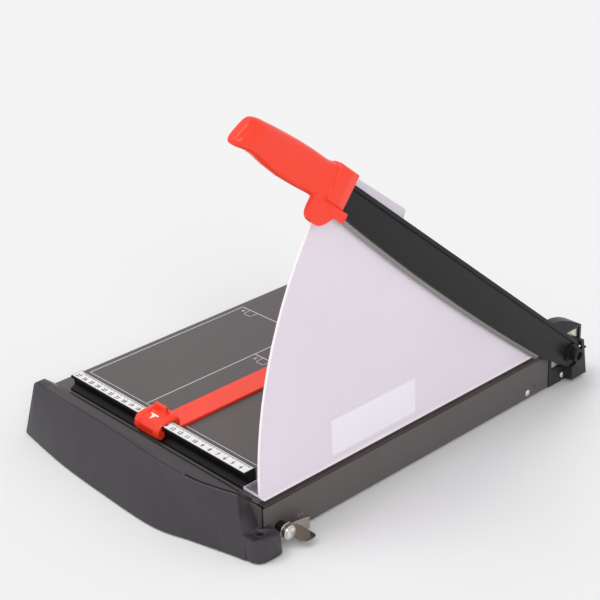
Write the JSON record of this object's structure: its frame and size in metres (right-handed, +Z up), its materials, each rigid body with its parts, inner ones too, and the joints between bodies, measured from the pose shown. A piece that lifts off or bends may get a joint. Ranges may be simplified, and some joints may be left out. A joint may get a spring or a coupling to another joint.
{
  "type": "guillotine paper cutter",
  "caption": "Desktop guillotine trimmer with a hinged arm and blade, frosted hand guard, paper stop with sliding back gauge and a swivel latch.",
  "frame": {"origin": "middle of the bounding box at table level, with the arm raised by forty degrees", "axes": "+X towards the cutting side, +Y away from the user towards the pivot, +Z up"},
  "size_m": [0.3246, 0.463, 0.3712],
  "materials": {
    "grey_painted_steel": "fine textured grey powder coat",
    "black_painted_metal": "satin black",
    "tool_steel": "ground steel",
    "black_plastic": "finely grained black moulding",
    "orange_red_plastic": "semi-gloss orange-red moulding",
    "white_label": "printed film",
    "frosted_acrylic": "frosted clear acrylic",
    "nickel_plate": "bright nickel plate",
    "zinc_plate": "zinc plate",
    "bronze": "oiled bronze",
    "rubber": "black rubber"
  },
  "bodies": {
    "base": {"bed_plate": "grey_painted_steel", "lower_blade": "tool_steel", "far_end_plate": "grey_painted_steel", "front_cap": "black_plastic", "foot_near_left": "rubber", "foot_near_right": "rubber", "foot_far_left": "rubber", "foot_far_right": "rubber", "foot_pad_screw": "black_painted_metal", "ruler_bar": "black_painted_metal", "ruler_scale": "white_label", "ruler_screw_1": "zinc_plate", "ruler_screw_2": "zinc_plate", "ruler_screw_3": "zinc_plate", "guard_shield": "frosted_acrylic", "guard_spacer_near": "black_plastic", "guard_spacer_far": "black_plastic", "guard_screw_near": "nickel_plate", "guard_screw_far": "nickel_plate", "pivot_bracket": "zinc_plate", "pivot_housing": "black_plastic", "stop_screw": "black_painted_metal", "pivot_bolt": "black_painted_metal", "pivot_inner_washer": "bronze", "pivot_outer_washer": "black_painted_metal", "pivot_spring_washer": "black_painted_metal", "pivot_nut": "black_painted_metal", "side_screw": "nickel_plate", "housing_screw": "nickel_plate", "edge_rivet_1": "nickel_plate", "edge_rivet_2": "nickel_plate", "latch_boss": "black_painted_metal", "latch_washer_inner": "nickel_plate", "latch_washer_outer": "nickel_plate", "latch_screw": "nickel_plate", "latch_nut": "nickel_plate"},
    "arm": {"arm": "black_painted_metal", "pivot_bushing": "bronze", "arm_stop_pin": "nickel_plate", "blade": "tool_steel", "blade_screw_1": "tool_steel", "blade_screw_2": "tool_steel", "blade_screw_3": "tool_steel", "blade_screw_4": "tool_steel", "handle": "orange_red_plastic", "handle_screw_1": "nickel_plate", "handle_screw_2": "nickel_plate"},
    "latch": {"latch_plate": "nickel_plate"},
    "back_gauge": {"gauge_slider": "orange_red_plastic", "gauge_fence": "orange_red_plastic", "gauge_rivet_1": "nickel_plate", "gauge_rivet_2": "nickel_plate", "gauge_leaf_spring": "tool_steel"}
  },
  "joints": [
    {"name": "arm_pivot", "type": "hinge", "parent": "base", "child": "arm", "pos_m": [0.1377, 0.20669, 0.0335], "axis": [1, 0, 0], "range_deg": [-12, 37.5]},
    {"name": "latch_swivel", "type": "hinge", "parent": "base", "child": "latch", "pos_m": [0.1482, -0.16681, 0.013], "axis": [1, 0, 0], "range_deg": [0, 95]},
    {"name": "gauge_slide", "type": "slide", "parent": "base", "child": "back_gauge", "axis": [1, 0, 0], "range_m": [-0.1, 0.1]}
  ]
}
